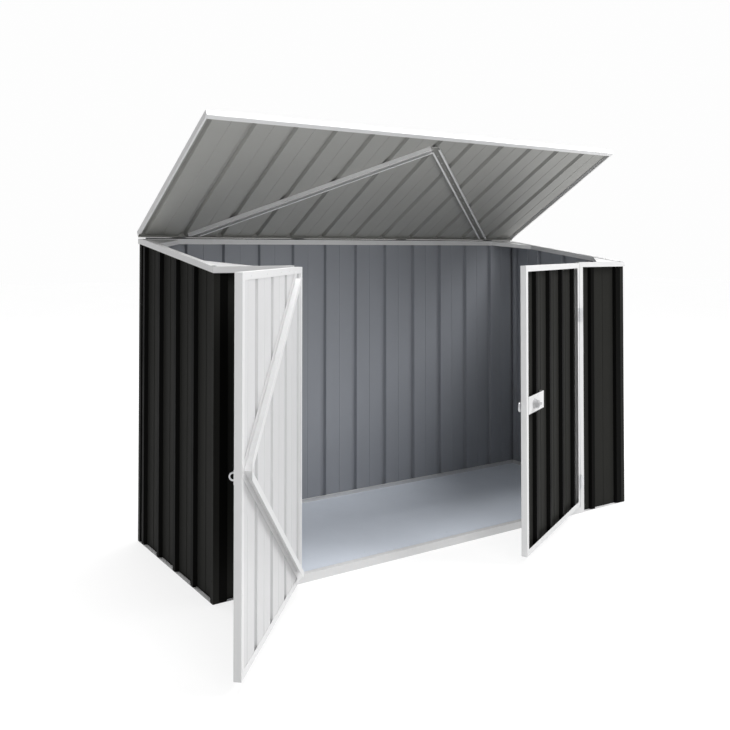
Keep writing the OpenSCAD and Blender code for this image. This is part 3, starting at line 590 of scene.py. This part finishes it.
def hinge_screws():
    """Two screws in each hinge leaf."""
    fixed, moving = [], []
    for z in DOOR_HINGE_Z:
        for step in LEAF_SCREWS:
            fixed.append(((-HINGE_X - LEAF_MIDDLE, -HALF_D - FIXED_LEAF, z + step), FRONT))
            moving.append(((LEAF_MIDDLE, MOVING_LEAF, z + step), FRONT))
    heads("door_hinge_screws_fixed", SCREW, both_sides(fixed), SHELL, zinc, "shell")
    heads("left_door_hinge_screws", SCREW, moving, LEFT_DOOR, zinc, "left_door")
    mirrored = [((-x, y, z), way) for (x, y, z), way in moving]
    heads("right_door_hinge_screws", SCREW, mirrored, RIGHT_DOOR, zinc, "right_door")
    low, high = [], []
    for x in LID_HINGE_X:
        for step in LEAF_SCREWS:
            low.append(((x + step, HALF_D + FIXED_LEAF, BACK_RAIL_Z), BACK))
            high.append(((x + step, -MOVING_LEAF, LEAF_MIDDLE), BACK))
    heads("lid_hinge_screws_fixed", SCREW, low, SHELL, zinc, "shell")
    heads("lid_hinge_screws", SCREW, high, LID, zinc, "lid")


def door_rivets(sign, apex, frame_of, body):
    """Rivets in a door's inner lips and at the ends of its braces; sign mirrors the right door."""
    spots = []
    for x in STILE_RIVET_X:
        spots += [((x, DOOR_IN, z), BACK) for z in STILE_RIVET_Z]
    for x in RAIL_RIVET_X:
        spots.append(((x, DOOR_IN, DOOR_TOP - LIP_MIDDLE), BACK))
        spots.append(((x, DOOR_IN, DOOR_LOW + LIP_MIDDLE), BACK))
    for foot, end_z in ((UPPER_BRACE_FOOT, apex + BRACES_APART), (LOWER_BRACE_FOOT, apex - BRACES_APART)):
        foot_x, foot_z = foot
        run = math.hypot(BRACES_MEET_X - foot_x, end_z - foot_z)
        across, rise = (BRACES_MEET_X - foot_x) / run, (end_z - foot_z) / run
        for step in BRACE_RIVETS:
            spots.append(((foot_x + across * step, BRACE_SKIN, foot_z + rise * step), BACK))
        spots.append(((LAST_RIVET_X, BRACE_SKIN, end_z + rise * LAST_RIVET_ON), BACK))
    spots = [((sign * x, y, z), way) for (x, y, z), way in spots]
    heads(body + "_rivets", RIVET, spots, frame_of, frame_white, body)


def lid_rivets():
    """Rivets along the lid's edge channels, its laps and its braces."""
    top, lap, under = [], [], []
    for rib in range(1, 2 * HALF_BAYS):
        x = FIRST_RIB + rib * RIB_PITCH
        top += [((x, y, LID_TOP_Z), UP) for y in (LID_FRONT_Y, LID_BACK_Y)]
    for y in LID_SIDE_RIVET_Y:
        top += [((x, y, LID_TOP_Z), UP) for x in (-HALF_W + LID_SIDE_IN, HALF_W - LID_SIDE_IN)]
    for y in LID_LAP_RIVET_Y:
        lap += [((x, y, LID_LAP_Z), UP) for x in (-LAP_X, LAP_X)]
    for middle in bay_middles():
        for x in (middle + shift for shift in UNDER_RIVETS):
            share = (x + BRACE_RUN_X) / BRACE_RUN_X
            if UNDER_FROM < share < UNDER_TO:
                y = UNDER_FOOT_Y - share * UNDER_RUN_Y
                under += [((x, y, UNDER_RIVET_Z), DOWN), ((-x, y, UNDER_RIVET_Z), DOWN)]
    heads("lid_trim_rivets", RIVET, top, LID, frame_white, "lid")
    heads("lid_lap_rivets", RIVET, lap, LID, satin_black, "lid")
    heads("lid_brace_rivets", RIVET, under, LID, frame_white, "lid")


def latch_screws():
    """Screws of the latch plate and round heads on the staple's plate."""
    plate = [((LATCH_PLATE_X, LATCH_PLATE_OUT, z), FRONT) for z in LATCH_SCREW_Z]
    heads("latch_plate_screws", SCREW, plate, RIGHT_DOOR, zinc, "right_door")
    staple = [((STAPLE_X, MOVING_LEAF, z), FRONT) for z in STAPLE_SCREW_Z]
    heads("staple_screws", RIVET, staple, LEFT_DOOR, zinc, "left_door")


def back_rail_seal():
    """The rubber strip that the closed lid comes down on, along the top of the back rail; its black also
    stands for the shade in the join.
    """
    shape = bmesh.new()
    bmesh.ops.create_cube(shape, size=MM)
    bmesh.ops.scale(shape, vec=SEAL_SIZE, verts=shape.verts)
    bmesh.ops.translate(shape, vec=Vector(SEAL_PLACE) * MM, verts=shape.verts)
    piece = add_piece("back_rail_seal", shape, seal_black_and_join_shade, "shell")
    piece.data.shade_flat()


def lid_brace_lips():
    """Returned lips along both edges of the lid's brace channels."""
    shape = bmesh.new()
    along = (BRACE_APEX - BRACE_FOOT).normalized()
    across = Vector((-along.y, along.x))
    for side in (-1, 1):
        ring = []
        for offset, ends in ((BRACE_HALF - LIP_W, (0, 1)), (BRACE_HALF, (1, 0))):
            line = BRACE_FOOT + across * side * offset
            foot = line + along * (BRACE_FOOT.y - line.y) / along.y
            if side < 0:
                apex = line + along * (BRACE_STOP_Y - line.y) / along.y
            else:
                apex = line - along * line.x / along.x
            ring += [(foot, apex)[end] for end in ends]
        for mirror in (-1, 1):
            corners = [shape.verts.new((mirror * x * MM, y * MM, BRACE_LOW * MM)) for x, y in ring]
            sheet = bmesh.ops.extrude_face_region(shape, geom=[shape.faces.new(corners)])
            top = [v for v in sheet["geom"] if isinstance(v, bmesh.types.BMVert)]
            bmesh.ops.translate(shape, verts=top, vec=(0, 0, LIP_T * MM))
    bmesh.ops.recalc_face_normals(shape, faces=shape.faces)
    bmesh.ops.transform(shape, matrix=LID, verts=shape.verts)
    piece = add_piece("lid_brace_lips", shape, frame_white, "lid")
    piece.data.shade_flat()


wall_rivets()
back_rail_seal()
lid_brace_lips()
frame_rivets()
hinge_screws()
door_rivets(1, LEFT_APEX_Z, LEFT_DOOR, "left_door")
door_rivets(-1, RIGHT_APEX_Z, RIGHT_DOOR, "right_door")
lid_rivets()
latch_screws()


# Ground, light and camera

def ground():
    shape = bmesh.new()
    bmesh.ops.create_grid(shape, x_segments=1, y_segments=1, size=GROUND_SIZE / 2)
    mesh = as_mesh(shape, "ground")
    mesh.materials.append(ground_white)
    plane = bpy.data.objects.new("ground", mesh)
    bpy.context.scene.collection.objects.link(plane)


def softbox(name, place, size, power):
    lamp = bpy.data.lights.new(name, "AREA")
    lamp.shape = "RECTANGLE"
    lamp.size, lamp.size_y = size
    lamp.energy = power
    holder = bpy.data.objects.new(name, lamp)
    holder.location = place
    holder.rotation_euler = (Vector(LAMP_AIM) - Vector(place)).to_track_quat("-Z", "Y").to_euler()
    bpy.context.scene.collection.objects.link(holder)


def sky():
    """White behind the object, dimmer behind the camera and at the sides."""
    world = bpy.data.worlds.new("studio_white")
    world.use_nodes = True
    tree = world.node_tree
    back = tree.nodes["Background"]
    back.inputs["Color"].default_value = (1, 1, 1, 1)
    place = tree.nodes.new("ShaderNodeTexCoord")
    along = tree.nodes.new("ShaderNodeVectorMath")
    along.operation = "DOT_PRODUCT"
    along.inputs[1].default_value = (math.sin(CAMERA_YAW), math.cos(CAMERA_YAW), 0)
    level = tree.nodes.new("ShaderNodeMapRange")
    level.interpolation_type = "SMOOTHSTEP"
    level.inputs["From Min"].default_value = SKY_EDGE_LOW
    level.inputs["From Max"].default_value = SKY_EDGE_HIGH
    level.inputs["To Min"].default_value = SKY_SIDES
    level.inputs["To Max"].default_value = SKY_BACK
    tree.links.new(place.outputs["Generated"], along.inputs[0])
    tree.links.new(along.outputs["Value"], level.inputs["Value"])
    tree.links.new(level.outputs["Result"], back.inputs["Strength"])
    bpy.context.scene.world = world


def camera():
    lens = bpy.data.cameras.new("camera")
    lens.lens = CAMERA_LENS
    lens.sensor_width = CAMERA_SENSOR
    lens.shift_y = CAMERA_DROP
    holder = bpy.data.objects.new("camera", lens)
    holder.location = CAMERA_PLACE
    holder.rotation_euler = (math.pi / 2 + CAMERA_PITCH, 0, -CAMERA_YAW)
    bpy.context.scene.collection.objects.link(holder)
    bpy.context.scene.camera = holder


bpy.context.scene.view_settings.view_transform = "Standard"
ground()
sky()
for name, place, size, power in LAMPS:
    softbox(name, place, size, power)
camera()
